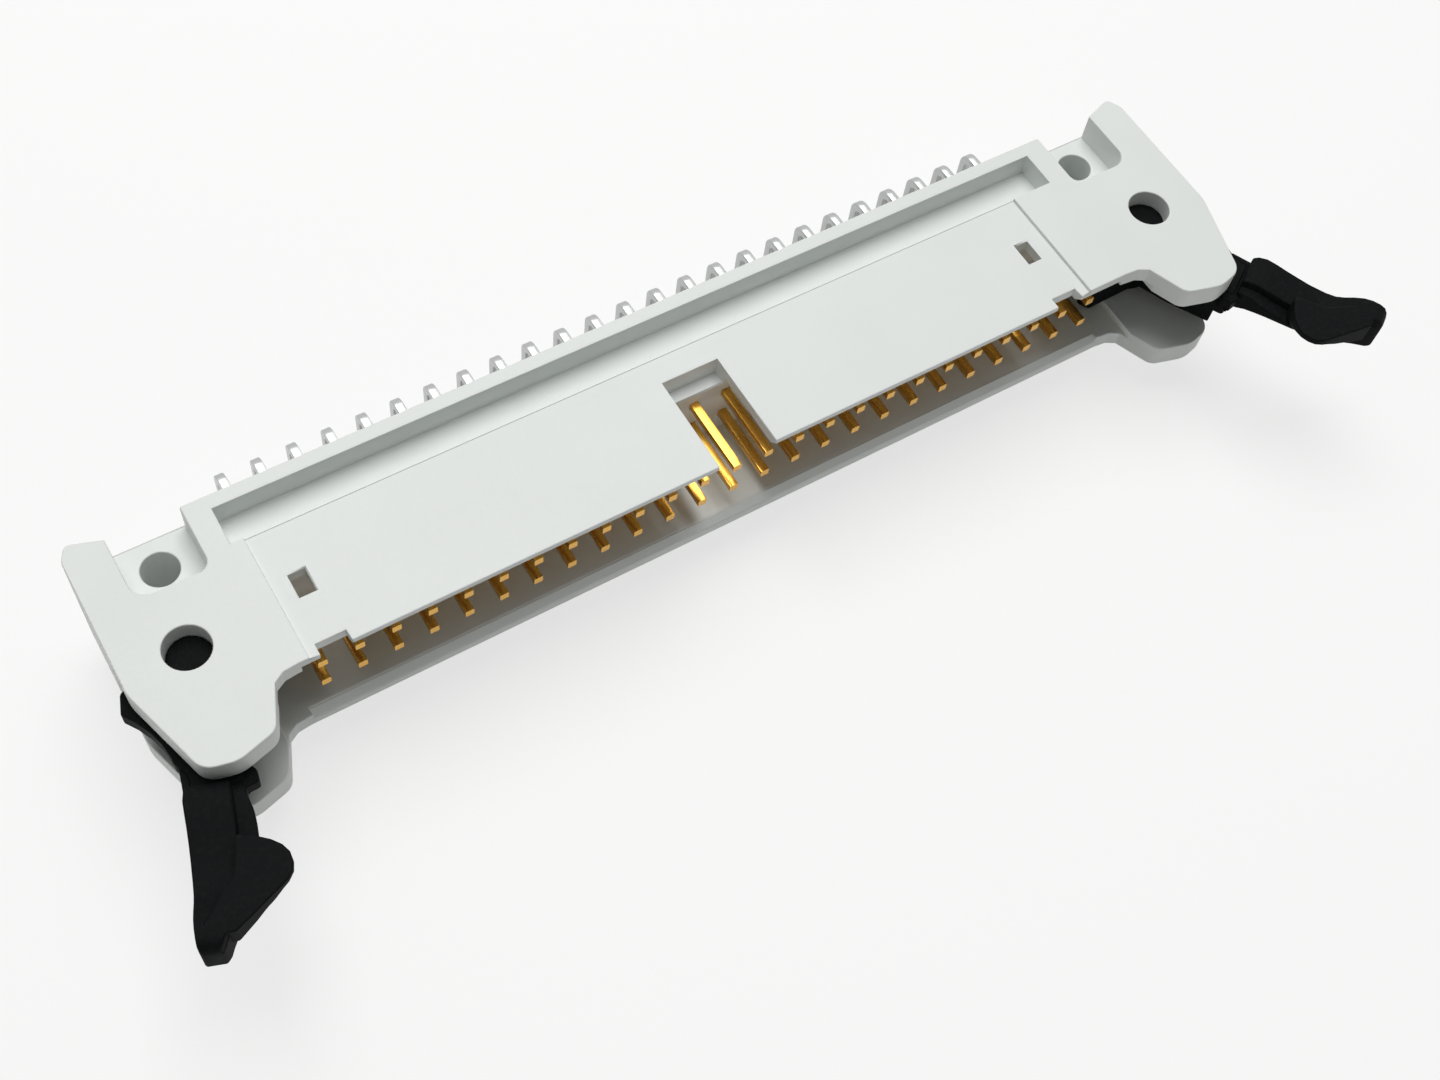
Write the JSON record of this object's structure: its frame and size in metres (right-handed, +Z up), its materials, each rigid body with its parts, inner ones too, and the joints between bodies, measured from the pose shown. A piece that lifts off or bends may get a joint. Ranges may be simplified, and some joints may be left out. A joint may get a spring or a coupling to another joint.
{
  "type": "insulation displacement connector",
  "caption": "Right-angle box header for a ribbon-cable socket, with two rows of square pins, a keyed mouth and a hooked ejector latch in each forked ear.",
  "frame": {"origin": "midway between the two mounting holes, on the board face", "axes": "+X along the contact rows, -Y out of the mating mouth, +Z up from the board"},
  "size_m": [0.0923, 0.0306, 0.012],
  "materials": {
    "housing": "fine satin moulding",
    "latch": "satin black moulding",
    "contact": "gold flash at the mating end, tin at the tail"
  },
  "bodies": {
    "header": {"housing": "housing", "upper_contact_01": "contact", "upper_contact_02": "contact", "upper_contact_03": "contact", "upper_contact_04": "contact", "upper_contact_05": "contact", "upper_contact_06": "contact", "upper_contact_07": "contact", "upper_contact_08": "contact", "upper_contact_09": "contact", "upper_contact_10": "contact", "upper_contact_11": "contact", "upper_contact_12": "contact", "upper_contact_13": "contact", "upper_contact_14": "contact", "upper_contact_15": "contact", "upper_contact_16": "contact", "upper_contact_17": "contact", "upper_contact_18": "contact", "upper_contact_19": "contact", "upper_contact_20": "contact", "upper_contact_21": "contact", "upper_contact_22": "contact", "upper_contact_23": "contact", "upper_contact_24": "contact", "upper_contact_25": "contact", "lower_contact_01": "contact", "lower_contact_02": "contact", "lower_contact_03": "contact", "lower_contact_04": "contact", "lower_contact_05": "contact", "lower_contact_06": "contact", "lower_contact_07": "contact", "lower_contact_08": "contact", "lower_contact_09": "contact", "lower_contact_10": "contact", "lower_contact_11": "contact", "lower_contact_12": "contact", "lower_contact_13": "contact", "lower_contact_14": "contact", "lower_contact_15": "contact", "lower_contact_16": "contact", "lower_contact_17": "contact", "lower_contact_18": "contact", "lower_contact_19": "contact", "lower_contact_20": "contact", "lower_contact_21": "contact", "lower_contact_22": "contact", "lower_contact_23": "contact", "lower_contact_24": "contact", "lower_contact_25": "contact"},
    "left_lever": {"left_latch": "latch"},
    "right_lever": {"right_latch": "latch"}
  },
  "joints": [
    {"name": "left_latch_hinge", "type": "hinge", "parent": "header", "child": "left_lever", "pos_m": [-0.03749, -0.00706, 0.0045], "axis": [0, 0, -1], "range_deg": [-20, 30]},
    {"name": "right_latch_hinge", "type": "hinge", "parent": "header", "child": "right_lever", "pos_m": [0.03749, -0.00706, 0.0045], "axis": [0, 0, 1], "range_deg": [-32, 18]}
  ]
}
